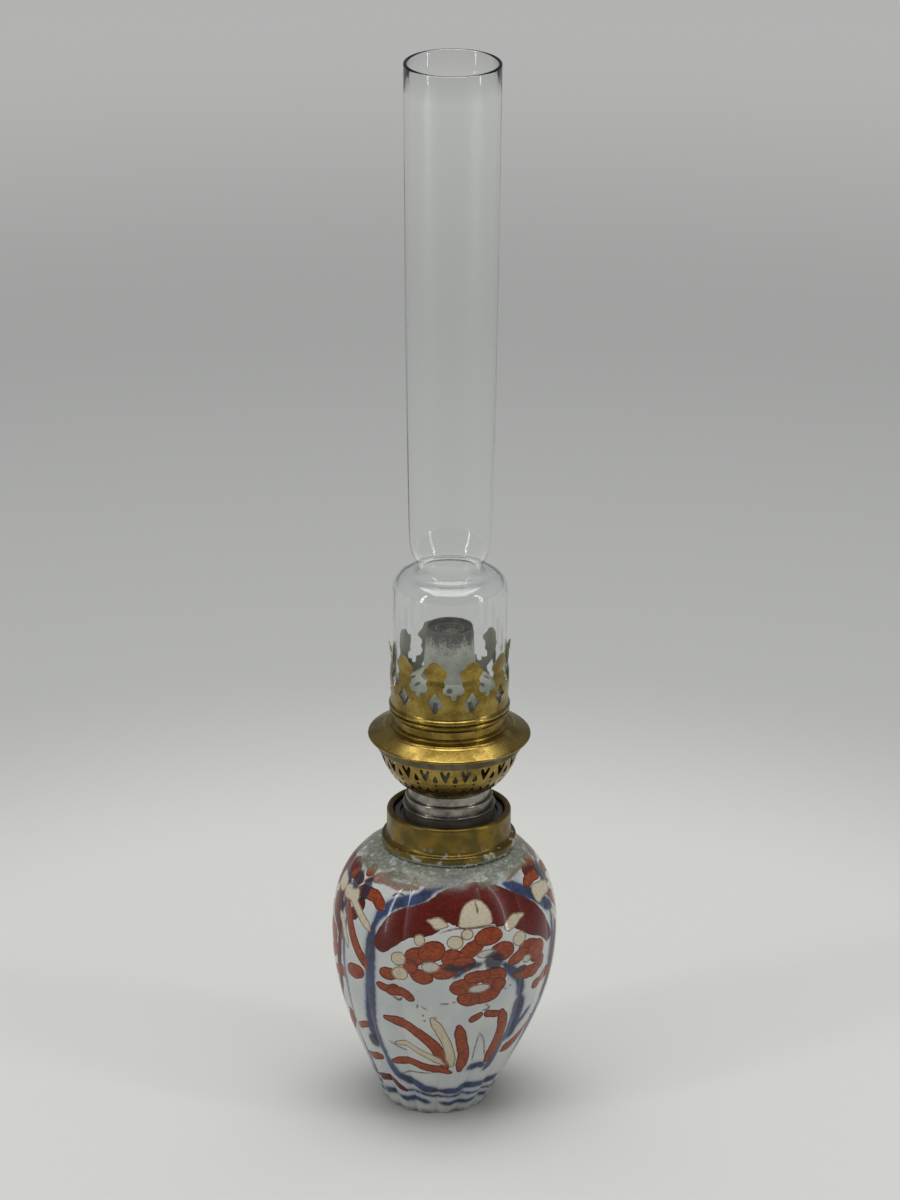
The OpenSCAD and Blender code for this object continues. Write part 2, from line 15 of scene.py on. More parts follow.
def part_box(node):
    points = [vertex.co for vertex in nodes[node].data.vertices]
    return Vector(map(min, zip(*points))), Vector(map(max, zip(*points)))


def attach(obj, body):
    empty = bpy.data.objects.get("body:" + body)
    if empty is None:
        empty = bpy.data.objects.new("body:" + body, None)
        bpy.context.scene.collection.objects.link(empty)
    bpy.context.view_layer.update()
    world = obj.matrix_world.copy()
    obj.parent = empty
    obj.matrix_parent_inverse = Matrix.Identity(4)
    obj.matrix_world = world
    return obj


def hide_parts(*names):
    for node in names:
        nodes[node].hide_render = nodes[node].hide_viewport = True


MM = 0.001
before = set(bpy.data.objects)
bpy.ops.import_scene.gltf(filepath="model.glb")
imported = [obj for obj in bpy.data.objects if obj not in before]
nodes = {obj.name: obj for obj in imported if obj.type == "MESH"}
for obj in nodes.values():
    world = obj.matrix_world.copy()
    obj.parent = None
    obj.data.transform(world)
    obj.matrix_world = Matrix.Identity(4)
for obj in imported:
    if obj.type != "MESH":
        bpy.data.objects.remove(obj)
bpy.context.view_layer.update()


def extent(node):
    """Lowest and highest corner of a CAD node, in millimetres."""
    low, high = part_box(node)
    return low / MM, high / MM


# %% [markdown]
# ## Camera
# The lamp was photographed from above with a long lens. The rims of the glass and of the collar
# are circles, so the flatness of their ellipses gives the tilt, and their sizes give the distance.
# The whole picture is turned by a third of a degree, which a small roll of the camera copies.

# %% Camera
TILT = math.radians(21.8)
ROLL = math.radians(0.3)
AIM_HEIGHT = 218.5
DISTANCE = 2605.9
LENS = 195

camera = bpy.data.objects.new("camera", bpy.data.cameras.new("camera"))
bpy.context.scene.collection.objects.link(camera)
bpy.context.scene.camera = camera
camera.data.lens = LENS
camera.data.clip_end = 50
turn = Quaternion((1, 0, 0), math.pi / 2 - TILT) @ Quaternion((0, 0, 1), ROLL)
camera.rotation_euler = turn.to_euler()
look = Vector((0, math.cos(TILT), -math.sin(TILT)))
camera.location = Vector((0, 0, AIM_HEIGHT * MM)) - look * DISTANCE * MM
print("camera at", [round(c, 3) for c in camera.location])

# %% [markdown]
# ## Shader maths
# A material is a graph of small nodes. Written one by one they are hard to read, so one class wraps
# an output socket and turns the signs + - * into Math nodes. Every other node comes from one
# method that takes the node's type, its settings and what goes into its sockets.


# %% Shader maths
class Value:
    """A number that varies over a surface: an output socket with the usual signs."""

    def __init__(self, paint, socket):
        self.paint = paint
        self.socket = socket

    def math(self, operation, *others):
        inputs = dict(enumerate((self, *others)))
        return self.paint.node("ShaderNodeMath", {"operation": operation}, inputs)

    def __add__(self, other):
        return self.math("ADD", other)

    __radd__ = __add__

    def __sub__(self, other):
        return self.math("SUBTRACT", other)

    def __rsub__(self, other):
        return (self * -1).math("ADD", other)

    def __mul__(self, other):
        return self.math("MULTIPLY", other)

    __rmul__ = __mul__

    def fade(self, start, end):
        """Goes smoothly from 0 at start to 1 at end, which may be the lower of the two."""
        settings = {"interpolation_type": "SMOOTHSTEP"}
        if start < end:
            return self.paint.node("ShaderNodeMapRange", settings, {0: self, 1: start, 2: end})
        return 1 - self.paint.node("ShaderNodeMapRange", settings, {0: self, 1: end, 2: start})

    def size(self):
        return self.math("ABSOLUTE")

    def lowest(self, other):
        return self.math("MINIMUM", other)

    def highest(self, other):
        return self.math("MAXIMUM", other)


class Paint:
    """One material and its nodes."""

    def __init__(self, name):
        self.material = bpy.data.materials.new(name)
        self.material.use_nodes = True
        self.tree = self.material.node_tree
        self.tree.nodes.clear()

    def node(self, kind, settings=None, inputs=None, output=0):
        """Adds a node of any kind, and gives one of its outputs as a Value."""
        made = self.tree.nodes.new(kind)
        for key, value in (settings or {}).items():
            setattr(made, key, value)
        for key, value in (inputs or {}).items():
            socket = made.inputs[key]
            if isinstance(value, Value):
                self.tree.links.new(value.socket, socket)
            elif isinstance(value, tuple) and len(value) == 3 and socket.type == "RGBA":
                socket.default_value = (*value, 1)
            else:
                socket.default_value = value
        return Value(self, made.outputs[output]) if len(made.outputs) else None

    def coords(self):
        """The piece's own coordinates, in metres."""
        return self.node("ShaderNodeTexCoord", output="Object")

    def axes(self):
        """The three coordinates one by one, in millimetres."""
        split = self.node("ShaderNodeSeparateXYZ", inputs={0: self.coords()})
        return [Value(self, split.socket.node.outputs[i]) * (1 / MM) for i in range(3)]

    def radius(self):
        """Distance from the lamp's axis, in millimetres."""
        x, y, z = self.axes()
        return (x * x + y * y).math("SQRT")

    def attribute(self, name):
        return self.node("ShaderNodeAttribute", {"attribute_name": name}, output="Fac")

    def noise(self, size, detail=3, roughness=0.5, stretch=(1, 1, 1), shift=0):
        """Smooth noise around 0.5, whose lumps are about size millimetres across."""
        scale = tuple(s / (size * MM) for s in stretch)
        place = self.node(
            "ShaderNodeMapping", {}, {"Vector": self.coords(), "Location": (shift,) * 3, "Scale": scale}
        )
        inputs = {"Vector": place, "Scale": 1.0, "Detail": detail, "Roughness": roughness}
        return self.node("ShaderNodeTexNoise", {}, inputs)

    def mix(self, share, first, second):
        """A colour between two colours."""
        settings = {"data_type": "RGBA"}
        return self.node("ShaderNodeMix", settings, {0: share, 6: first, 7: second}, output=2)

    def blend(self, share, first, second):
        """A number between two numbers."""
        return self.node("ShaderNodeMix", {"data_type": "FLOAT"}, {0: share, 2: first, 3: second})

    def bump(self, height, depth, below=None):
        """A normal from a height between 0 and 1 that stands for depth millimetres."""
        inputs = {"Height": height, "Distance": depth * MM, "Strength": 1.0}
        if below:
            inputs["Normal"] = below
        return self.node("ShaderNodeBump", {}, inputs)

    def finish(self, **sockets):
        """Joins the values to one Principled shader and gives the material."""
        names = {key.replace("_", " ").title().replace("Ior", "IOR"): v for key, v in sockets.items()}
        surface = self.node("ShaderNodeBsdfPrincipled", {}, names)
        self.node("ShaderNodeOutputMaterial", {}, {"Surface": surface})
        return self.material


def srgb(red, green, blue):
    """A colour as a picture program writes it, 0 to 255, as the linear values that light uses."""
    parts = [c / 255 for c in (red, green, blue)]
    return tuple(c / 12.92 if c <= 0.04045 else ((c + 0.055) / 1.055) ** 2.4 for c in parts)


# %% [markdown]
# ## Floor and light
# The lamp stands on pale card that runs up behind it. A round card gives the same tones from every side
# and still catches the lamp's soft shadow. Some way from the lamp the card is painted darker, as
# painted shade like that on the upright part of a card, and far out it is painted paler, as painted
# light. One wide lamp above, a narrow one on either side of the camera and an even grey world are
# plain studio light.

# %% Floor and light
CARD_NEAR = srgb(206, 206, 202)
# The darker ring is painted shade, and the paler far end is painted light.
CARD_PAINTED_SHADE = srgb(180, 181, 179)
CARD_PAINTED_LIGHT = srgb(246, 246, 243)
CARD_STEPS = (250, 480, 900, 1700)
FLOOR_SIZE = 12

card = Paint("card")
reach = card.radius()
# Painted shade in a ring some way from the lamp, then painted light further out.
tone = card.mix(reach.fade(CARD_STEPS[0], CARD_STEPS[1]), CARD_NEAR, CARD_PAINTED_SHADE)
tone = card.mix(reach.fade(CARD_STEPS[2], CARD_STEPS[3]), tone, CARD_PAINTED_LIGHT)
card.finish(base_color=tone, roughness=0.9, specular_ior_level=0.1)

floor_mesh = bpy.data.meshes.new("floor")
half = FLOOR_SIZE / 2
corners = [(-half, -half, 0), (half, -half, 0), (half, half, 0), (-half, half, 0)]
floor_mesh.from_pydata(corners, [], [(0, 1, 2, 3)])
floor = bpy.data.objects.new("floor", floor_mesh)
bpy.context.scene.collection.objects.link(floor)
floor_mesh.materials.append(card.material)

world = bpy.data.worlds.new("world")
bpy.context.scene.world = world
world.use_nodes = True
WORLD_LIGHT = 0.23
world.node_tree.nodes["Background"].inputs["Color"].default_value = (*srgb(235, 238, 240), 1)
world.node_tree.nodes["Background"].inputs["Strength"].default_value = WORLD_LIGHT


def soft_lamp(name, place, target, width, height, power):
    """A flat lamp that shines from place towards target, all in metres and watts."""
    light = bpy.data.lights.new(name, "AREA")
    light.shape = "RECTANGLE"
    light.size = width
    light.size_y = height
    light.energy = power
    lamp = bpy.data.objects.new(name, light)
    bpy.context.scene.collection.objects.link(lamp)
    lamp.location = place
    lamp.rotation_euler = (Vector(target) - Vector(place)).to_track_quat("-Z", "Y").to_euler()
    return lamp


soft_lamp("top_light", (0, 0.05, 1.7), (0, 0, 0), 1.5, 1.5, 26)
soft_lamp("left_strip", (-1.25, -0.75, 0.75), (0, 0, 0.22), 0.10, 1.5, 5)
soft_lamp("right_strip", (1.25, -0.55, 0.75), (0, 0, 0.22), 0.08, 1.5, 4)
bpy.context.scene.view_settings.view_transform = "Standard"

# %% [markdown]
# ## The vase
# The porcelain is lobed, so its side has soft ridges with creases between them. Each vertex is
# placed from its azimuth in degrees, counted from the front, and its height in millimetres. The
# profile is two curves that meet at the belly, and the axis leans a little, as it does in the photo.

# %% Vase surface
LOBES = 16
LOBE_DEPTH = 1.1
# Each pair is a radius and a height in millimetres.
BELLY = (46.2, 77.0)
FOOT = (21.6, 0.7)
SHOULDER = (26.2, 113.0)
NECK_OUT, NECK_BORE, NECK_TOP = 23.2, 21.2, 124.9
WALL = 3.0
FLOOR_TOP = 6.7
COLUMNS = LOBES * 25
# The whole body sits to the left of the lamp's axis, and its foot further still.
BODY_LEAN, FOOT_LEAN, LEAN_TOP = 1.5, 3.2, 85


def curve(a, b, c, d, count):
    """Points of a cubic curve from a to d, pulled towards b and c."""
    t = np.linspace(0, 1, count)[:, None]
    s = 1 - t
    a, b, c, d = (np.array(p) for p in (a, b, c, d))
    return s**3 * a + 3 * s * s * t * b + 3 * s * t * t * c + t**3 * d


def side(inset, low, count):
    """The profile from the foot to the belly."""
    radius = FOOT[0] - inset
    belly = BELLY[0] - inset
    pull = (radius + 7.8, low + 19.2)
    return curve((radius, low), pull, (belly, BELLY[1] - 32.5), (belly, BELLY[1]), count)


def shoulder(inset, end, high, count):
    """The profile from the belly to the shoulder."""
    belly = BELLY[0] - inset
    return curve((belly, BELLY[1]), (belly, BELLY[1] + 15.1), (end + 13.5, high - 3.9), (end, high), count)


OUTSIDE = np.vstack([side(0, FOOT[1], 110), shoulder(0, *SHOULDER, 70)[1:]])
INSIDE = np.vstack([side(WALL, FLOOR_TOP, 14), shoulder(WALL, NECK_BORE + 2, SHOULDER[1] - WALL, 14)[1:]])
print("profile:", len(OUTSIDE), "points outside,", len(INSIDE), "inside")


def place(angle, height, radius=None, lobed=1.0, leaning=1.0):
    """Points on the vase, in millimetres, from an azimuth in degrees and a height."""
    angle, height = np.radians(angle), np.asarray(height, float)
    if radius is None:
        radius = np.interp(height, OUTSIDE[:, 1], OUTSIDE[:, 0])
    depth = LOBE_DEPTH * np.clip(1 - height / SHOULDER[1], 0, 1) ** 0.35
    radius = radius - lobed * depth * (1 - np.abs(np.sin(LOBES / 2 * angle)) ** 0.8)
    lean = -leaning * (BODY_LEAN + FOOT_LEAN * np.clip(1 - height / LEAN_TOP, 0, 1) ** 2)
    return np.stack([lean + radius * np.sin(angle), -radius * np.cos(angle), height + 0 * angle], -1)


# %% [markdown]
# ## The decoration
# The vase has three framed panels with a flowering branch and a plant, a blue arch and a red banner
# over them, and a flower spray in each gap. Every brush stroke is a path, and every petal or leaf a
# small outline, both written as (azimuth, height). The distance of each vertex to the edge of the
# strokes of one colour is stored in an attribute, negative inside, and the material paints where it
# is below zero. The brush's own wobble comes from noise in the material.

# %% Strokes and outlines
# Each line is a colour, a half-width in millimetres and a path.
STROKES = [
    ("blue", 3.0, [(-40, 91), (-41, 85), (-41, 75), (-42, 60), (-44, 50), (-45, 42), (-43, 36), (-40, 30)]),
    ("blue", 2.2, [(-40, 30), (-38, 25), (-34, 20.5), (-28, 18.5), (-20, 17), (-12, 14.5), (0, 13)]),
    ("blue", 1.9, [(0, 13), (10, 12.8), (18, 13), (22, 15), (30, 14.8), (42, 14.3), (55, 14.5), (64, 12.5)]),
    ("blue", 2.4, [(-40, 91), (-37, 96), (-30, 100.5), (-22, 102.5), (-15, 104), (-5, 108.5), (15, 110)]),
    ("blue", 2.8, [(42, 106), (50, 103), (58, 99.5), (65, 95.5), (72, 91), (75, 89.5)]),
    ("blue", 1.4, [(73, 89), (72, 78), (71, 68), (72, 55), (70, 40), (67, 26), (64, 14)]),
    ("blue", 1.0, [(5, 73), (13, 78)]),
    ("blue", 2.2, [(32, 76), (38, 71), (43, 66), (45, 58)]),
    ("blue", 3.2, [(45, 58), (45.5, 50), (45, 42), (43, 37)]),
    ("blue", 1.3, [(46, 40), (50, 44), (56, 50)]),
    ("blue", 1.9, [(38, 40), (38.5, 33), (37, 26), (34, 23)]),
    ("blue", 1.7, [(20.5, 25), (28, 26.5), (32, 25)]),
    ("red", 1.5, [(-66, 85), (-70, 70), (-72, 58), (-75, 50)]),
    ("cream", 1.9, [(-6, 53), (-1, 46), (4, 38), (7.5, 28)]),
    ("cream", 1.4, [(-29, 38), (-22, 38.5), (-14, 35.5), (-6, 32.5), (2, 28.5)]),
    ("cream", 1.6, [(-63, 97), (-56, 95), (-50, 92), (-43, 88)]),
    ("cream", 1.6, [(-70, 88), (-64, 84), (-60, 80), (-58, 77)]),
    ("cream", 3.2, [(-85, 99), (-76, 98)]),
    ("cream", 3.0, [(62, 97), (70, 98), (78, 98)]),
    ("orange", 1.6, [(-36, 66), (-30, 65), (-25, 66.5)]),
    ("petal", 1.9, [(-30, 64), (-22, 64.5), (-16.5, 62)]),
    ("orange", 2.2, [(-33, 50.5), (-24, 49.5), (-15, 46), (-6, 40), (0, 33), (4, 27)]),
    ("orange", 1.9, [(-34, 27), (-27, 28.8), (-20, 29), (-10, 27), (0, 25.5), (7, 24)]),
    ("orange", 2.2, [(9, 49), (12, 40), (14.5, 33), (14, 25)]),
    ("petal", 2.2, [(33, 54), (35.5, 48), (36, 42), (35, 36), (33, 28)]),
    ("petal", 1.5, [(15.5, 52), (21, 54)]),
    ("orange", 1.6, [(24, 54), (31, 53)]),
    ("red", 1.6, [(-62, 13), (-52, 15), (-42, 15.5), (-36, 13), (-30, 11.5)]),
    ("orange", 1.7, [(-62, 24.5), (-54, 25.5), (-46, 27)]),
    ("orange", 1.3, [(-60, 39), (-55, 41), (-49, 43)]),
    ("orange", 2.4, [(-58, 101), (-45, 101), (-37, 98)]),
    ("orange", 2.0, [(-65, 94), (-60, 90), (-55, 84), (-50, 78), (-45, 73), (-43.5, 71)]),
    ("red", 3.2, [(-82, 106), (-72, 105)]),
    ("petal", 1.4, [(-70, 97), (-67, 94)]),
    ("orange", 2.0, [(57, 103.5), (65, 104), (75, 103.5)]),
    ("red", 2.6, [(80, 91), (85, 97)]),
    ("orange", 2.2, [(46, 30.5), (53, 34), (60, 38.5), (64, 42)]),
    ("orange", 0.9, [(62, 44), (68, 41)]),
    ("line", 0.3, [(-3, 91.5), (5, 93.3), (12, 93.4), (20, 93.3), (27, 92.8), (33, 91)]),
    ("line", 0.3, [(-30, 21), (-22, 23), (-12, 23.5), (0, 24)]),
    ("line", 0.3, [(22, 29), (21.5, 36), (22, 44)]),
    ("line", 0.3, [(22.5, 44.5), (26, 40), (29, 33), (31, 30)]),
    ("line", 0.45, [(-11, 54.4), (-10.6, 54.9)]),
    ("line", 0.45, [(-10.2, 51.8), (-9.8, 52.3)]),
    ("line", 0.4, [(4.5, 61.2), (6.5, 61.5)]),
    ("line", 0.4, [(32.5, 64.5), (34, 64.6)]),
    ("line", 0.4, [(35.5, 65.5), (37, 65.4)]),
    ("line", 0.45, [(-28, 62.5), (-24, 60.5), (-22, 62)]),
    ("line", 0.35, [(-34, 38.5), (-30, 37), (-22, 34.5)]),
    ("line", 0.35, [(-19, 79), (-16, 79.5), (-13, 77)]),
    ("line", 0.35, [(-14, 58), (-13.5, 60)]),
    ("line", 0.35, [(-11.5, 59), (-8.5, 57.5)]),
    ("line", 0.35, [(-5, 54), (-3.5, 53.5)]),
    ("line", 0.35, [(-2, 60.3), (3, 60.5)]),
    ("line", 0.3, [(22, 59), (25, 57.5), (24, 56), (21, 56)]),
    ("line", 0.4, [(18, 103), (18.8, 100), (18.5, 98.5)]),
    ("line", 0.4, [(-33, 103), (-29, 104.5), (-25, 104)]),
    ("gold", 1.8, [(-57, 104.5), (-48, 107.5), (-38, 109.5), (-25, 109.8), (-14, 108.8), (-9, 107.8)]),
    ("gold", 1.6, [(-52, 105.5), (-42, 106.8), (-30, 106.5), (-18, 107)]),
    ("gold", 0.9, [(45, 107), (58, 108.5), (72, 108)]),
]
# Each line is a colour and a closed outline.
OUTLINES = [
    ("red", [(-38.5, 84), (-36, 90), (-30, 97), (-20, 100.5), (-10, 103), (-2, 106.5), (8, 108.3),
             (20, 108.7), (31, 107.5), (39, 105), (47, 101.5), (56, 97), (62, 92), (67, 86), (70, 79),
             (66, 77), (62, 79.5), (57, 82.5), (50, 85), (43, 88.5), (40, 90.5), (44, 93.5), (36, 94),
             (33, 92.5), (29, 92.5), (26, 94), (8, 94), (7, 95.5), (5, 95), (2, 96), (-2, 93.5),
             (-6, 91.5), (-12, 90), (-19, 89), (-26, 85), (-33, 81)]),
    ("cream", [(8, 95), (9, 99), (12, 102), (17, 103.3), (22, 102.5), (25.5, 99.5), (26.5, 96), (25, 93.5),
               (17, 93), (10, 93.5)]),
    ("cream", [(-9.5, 96.5), (-6, 97.3), (-3, 97.5), (0, 96), (2, 94.5), (-1, 93.5), (-5, 93.3), (-7, 95)]),
    ("cream", [(33, 91.5), (36, 94), (40, 95.3), (44, 94.8), (48, 93.8), (44, 92.5), (41, 91), (38, 90),
               (35, 89.5)]),
]
# Each line is a colour, a centre, half the length and half the width in millimetres, and a tilt in
# degrees. Neighbouring petals take turns between two colours that look alike, so that the brown
# edge of each shows.
OVALS = [
    ("orange", -15, 81.5, 5, 3.6, 30), ("petal", -6.5, 84, 5.4, 4.2, 20), ("petal", -17.5, 77, 3, 3.2, 0),
    ("orange", -11.5, 73, 4.6, 3, -15), ("petal", 0, 75.5, 5, 3.2, 10), ("orange", 4, 81, 4, 4.2, 0),
    ("petal", 10, 79, 4.5, 3, 0), ("orange", 14.5, 85, 5.6, 3, 30), ("petal", 23.5, 89, 6, 3.4, 5),
    ("orange", 31, 82, 5.2, 3.8, 0), ("petal", 41, 77.5, 5.5, 2.6, 15), ("orange", 48, 80, 5.5, 3, 0),
    ("petal", 54, 77, 5, 4.5, 0), ("orange", 57, 71, 3.4, 3, 0), ("petal", 50, 68.5, 5.5, 2.8, 0),
    ("orange", 43, 70, 4, 2.4, 0), ("orange", 10, 68.5, 5.5, 3.6, 10), ("petal", 17, 72.5, 5.5, 2.6, 0),
    ("orange", 26, 71.5, 5.5, 4, 0), ("petal", 13, 62.5, 4.8, 3, -10), ("orange", 22.5, 63, 6, 3.2, 10),
    ("petal", 29, 67.5, 3, 3, 0), ("orange", -29.5, 72, 3.8, 2.6, 0), ("orange", -52.5, 67.5, 5.2, 3.2, 10),
    ("orange", 57, 61, 3, 2.2, 0), ("orange", 66, 62.5, 5, 2.6, 0), ("orange", 78, 108, 4, 2, 0),
    ("cream", -13, 88.5, 2.2, 2.2, 0), ("cream", 5.5, 88, 3.2, 2.6, 0), ("cream", 12, 91, 2.4, 2, 0),
    ("cream", -24, 79.5, 3, 2.8, 0), ("cream", -23, 73, 3.3, 2.8, 0), ("cream", 42, 85, 3.5, 2.8, 0),
    ("pale", -7, 77.5, 3.4, 2.2, 0), ("pale", 22, 82, 4, 1.6, 0), ("pale", 47, 75, 2, 1.6, 0),
    ("pale", 18.5, 67, 4.5, 1.7, 0), ("knot", 26, 78.5, 4.2, 4, 0), ("knot", 5, 77, 4.6, 1.6, 0),
    ("knot", 15, 78, 4, 1.5, 0), ("knot", 42.5, 71, 3, 1.6, 0), ("knot", -48, 35, 3.2, 3.4, 0),
    ("knot", -65, 103, 4, 3.6, 0), ("knot", 84, 102, 4, 4.6, 0), ("knot", -70, 91, 2, 2, 0),
]
# Strokes that run round the whole vase, not with a panel.
BANDS = [
    ("blue", 0.8, [(-30, 11.8), (-20, 12), (-8, 10.5), (0, 10), (18, 9.8), (22, 11), (30, 10), (42, 9.6)]),
    ("blue", 0.8, [(45, 10.5), (55, 9.5), (70, 8.5)]),
    ("blue", 1.5, [(-61, 6.5), (-50, 8.2), (-41, 8.5)]),
    ("blue", 1.4, [(-38, 7.2), (-30, 6.8), (-20, 7.8), (-8, 6.3)]),
    ("blue", 1.1, [(3, 6), (12, 5.5), (20, 6.2), (30, 5.5), (42, 6.2)]),
    ("blue", 1.1, [(45, 7.2), (55, 5.8), (64, 4.8)]),
]
# The panels: left edge and width in degrees. The first is the one that the coordinates are read in.
FRONT_LEFT, FRONT_WIDTH = -43, 116
PANELS = [(-43, 116), (96, 92), (208, 90)]
BAND_TURNS = (0, 132, 226)
COLOURS = ("blue", "red", "orange", "petal", "cream", "pale", "knot", "line", "gold")
# Distances past this many millimetres aren't told apart.
FAR = 4.0
# Millimetres in a degree round the belly, near enough to space the points of a stroke.
DEGREE_MM = 0.8
# Vertices that are measured at a time, to keep the tables of distances small.
BATCH = 4000
print("strokes, outlines, ovals:", len(STROKES) + len(BANDS), len(OUTLINES), len(OVALS))


def smooth(path, closed, step=0.5):
    """A curve through the points of a path, as many closely spaced (azimuth, height) pairs."""
    p = np.array(path, float)
    p = np.vstack([p[-1:], p, p[:2]]) if closed else np.vstack([2 * p[0] - p[1], p, 2 * p[-1] - p[-2]])
    parts = []
    for a, b, c, d in zip(p, p[1:], p[2:], p[3:]):
        count = max(3, int(np.hypot((c[0] - b[0]) * DEGREE_MM, c[1] - b[1]) / step))
        t = np.linspace(0, 1, count, endpoint=False)[:, None]
        bend, twist = 2 * a - 5 * b + 4 * c - d, 3 * b - a - 3 * c + d
        parts.append(0.5 * (2 * b + (c - a) * t + bend * t**2 + twist * t**3))
    return np.vstack([*parts, p[-2:-1]] if not closed else parts)


def within(angle, height, outline):
    """Which points lie inside a closed outline, by counting the edges that a ray crosses."""
    inside = np.zeros(len(angle), bool)
    for (a0, z0), (a1, z1) in zip(outline, np.roll(outline, -1, axis=0)):
        if z0 != z1:
            crosses = (z0 > height) != (z1 > height)
            inside ^= crosses & (angle < (a1 - a0) * (height - z0) / (z1 - z0) + a0)
    return inside


def decorate(angle, height, points):
    """The distance to the edge of each colour for every vertex, in millimetres."""
    fields = {colour: np.full(len(points), FAR) for colour in COLOURS}

    def apply(colour, path, half_width, closed):
        line = smooth(path, closed)
        middle = line[:, 0].mean()
        local = (angle - middle + 180) % 360 - 180 + middle
        margin = FAR + (half_width or 0)
        reach = margin / (math.radians(1) * np.interp(line[:, 1], OUTSIDE[:, 1], OUTSIDE[:, 0]).min())
        near = (local > line[:, 0].min() - reach) & (local < line[:, 0].max() + reach)
        near &= (height > line[:, 1].min() - margin) & (height < line[:, 1].max() + margin)
        near = np.flatnonzero(near)
        if not len(near):
            return
        target = place(line[:, 0], line[:, 1])
        share = np.linspace(0, 1, len(line))
        taper = 1 if closed else 0.45 + 0.55 * np.minimum(1, np.minimum(share, 1 - share) * 7)
        inner = np.zeros(len(line)) if closed else half_width * taper
        away = np.empty(len(near))
        for start in range(0, len(near), BATCH):
            some = near[start : start + BATCH]
            gap = np.linalg.norm(points[some][:, None] - target[None], axis=2)
            away[start : start + BATCH] = (gap - inner).min(1)
        if closed:
            away = np.where(within(local[near], height[near], line), -away, away)
        fields[colour][near] = np.minimum(fields[colour][near], np.clip(away, -FAR, FAR))

    for left, width in PANELS:
        def shift(path):
            return [(left + (a - FRONT_LEFT) * width / FRONT_WIDTH, z) for a, z in path]

        for colour, half_width, path in STROKES:
            apply(colour, shift(path), half_width, False)
        for colour, path in OUTLINES:
            apply(colour, shift(path), None, True)
        for colour, a, z, length, breadth, tilt in OVALS:
            turn = np.radians(np.arange(0, 360, 24))
            u, v = length * np.cos(turn), breadth * np.sin(turn)
            c, s = math.cos(math.radians(tilt)), math.sin(math.radians(tilt))
            oval = [(a + (x * c - y * s) / 0.78, z + x * s + y * c) for x, y in zip(u, v)]
            apply(colour, shift(oval), None, True)
    for turn in BAND_TURNS:
        for colour, half_width, path in BANDS:
            apply(colour, [(a + turn, z) for a, z in path], half_width, False)
    return fields


# %% [markdown]
# ## The vase as a mesh
# The mesh is a stack of rings, from under the foot up the outside, over the neck and down the
# inside to the floor, so the wall has its real thickness. A subdivided cage would need fewer
# points, but the strokes need a fine and even grid, so the rings are built at full density.


# %% Vase mesh
def new_object(name, vertices, faces, smooth_angle=30):
    """A mesh object from points in millimetres, smooth but for edges sharper than the angle."""
    mesh = bpy.data.meshes.new(name)
    mesh.from_pydata((np.asarray(vertices) * MM).tolist(), [], faces)
    mesh.validate()
    mesh.shade_smooth()
    mesh.set_sharp_from_angle(angle=math.radians(smooth_angle))
    made = bpy.data.objects.new(name, mesh)
    bpy.context.scene.collection.objects.link(made)
    return made


def grid_faces(rows, columns):
    """Quads between the rings of a closed tube whose rings follow each other."""
    j, k = np.meshgrid(np.arange(rows - 1), np.arange(columns), indexing="ij")
    a, b = j * columns + k, j * columns + (k + 1) % columns
    return np.stack([a, b, b + columns, a + columns], -1).reshape(-1, 4).tolist()


azimuth = np.arange(COLUMNS) * 360 / COLUMNS
rings = [(17.5, 2.2, 0, 1), (18.6, 0, 0, 1), (20.9, 0, 1, 1)]
rings += [(r, z, 1, 1) for r, z in OUTSIDE]
rings += [(NECK_OUT, SHOULDER[1], 0, 0), (NECK_OUT, NECK_TOP - 0.5, 0, 0), (NECK_OUT - 0.5, NECK_TOP, 0, 0)]
rings += [(NECK_BORE, NECK_TOP, 0, 0), (NECK_BORE, SHOULDER[1] - WALL, 0, 0)]
rings += [(r, z, 0, 1) for r, z in INSIDE[::-1]]
vase_points = np.vstack([
    place(azimuth, np.full(COLUMNS, z), r, lobed, leaning) for r, z, lobed, leaning in rings
])
vase_faces = grid_faces(len(rings), COLUMNS)
count = len(vase_points)
ends = [place(0, z, 0.0, 0) for z in (rings[0][1], rings[-1][1])]
vase_points = np.vstack([vase_points, *[e.reshape(1, 3) for e in ends]])
last = count - COLUMNS
for k in range(COLUMNS):
    after = (k + 1) % COLUMNS
    vase_faces += [(count, after, k), (count + 1, last + k, last + after)]

vase = new_object("porcelain_vase", vase_points, vase_faces, 40)
painted = np.arange(count + 2)
painted = painted[(painted >= 3 * COLUMNS) & (painted < (3 + len(OUTSIDE)) * COLUMNS)]
angles = np.tile(azimuth, len(OUTSIDE))
heights = vase_points[painted, 2]
fields = decorate(angles, heights, vase_points[painted])
for colour, field in fields.items():
    layer = vase.data.attributes.new(colour, "FLOAT", "POINT")
    values = np.full(len(vase_points), FAR)
    values[painted] = field
    layer.data.foreach_set("value", values.astype(np.float32))
blue_share = float((fields["blue"] < 0).mean())
print("vase:", len(vase_points), "vertices, share painted blue", round(blue_share, 3))

# %% [markdown]
# ## Porcelain
# The colours lie over the white in the order in which they were painted: blue under the glaze, then
# red, orange and cream with thin brown edges, and last the gold and the dark knots.

# %% Porcelain material
BLUE, NAVY = (0.020, 0.038, 0.130), (0.008, 0.012, 0.036)
ORANGE, ORANGE_DEEP = (0.34, 0.072, 0.018), (0.18, 0.024, 0.007)
BANNER, BANNER_DEEP = (0.135, 0.010, 0.005), (0.07, 0.005, 0.003)
CREAM = (0.56, 0.51, 0.38)
BROWN = (0.085, 0.018, 0.008)
GOLD = (0.26, 0.12, 0.03)
GLAZE = (0.58, 0.59, 0.56)
SMEAR = (0.125, 0.128, 0.080)

p = Paint("porcelain")
wobble = (p.noise(2.2, detail=3) - 0.5) * 1.3
pool = p.noise(5, detail=3, shift=3)
brush = p.noise(1.6, detail=2, stretch=(1, 1, 2.2), shift=11)
x, y, z = p.axes()
colour = p.mix(p.noise(16, detail=2).fade(0.35, 0.7), GLAZE, (0.50, 0.53, 0.53))


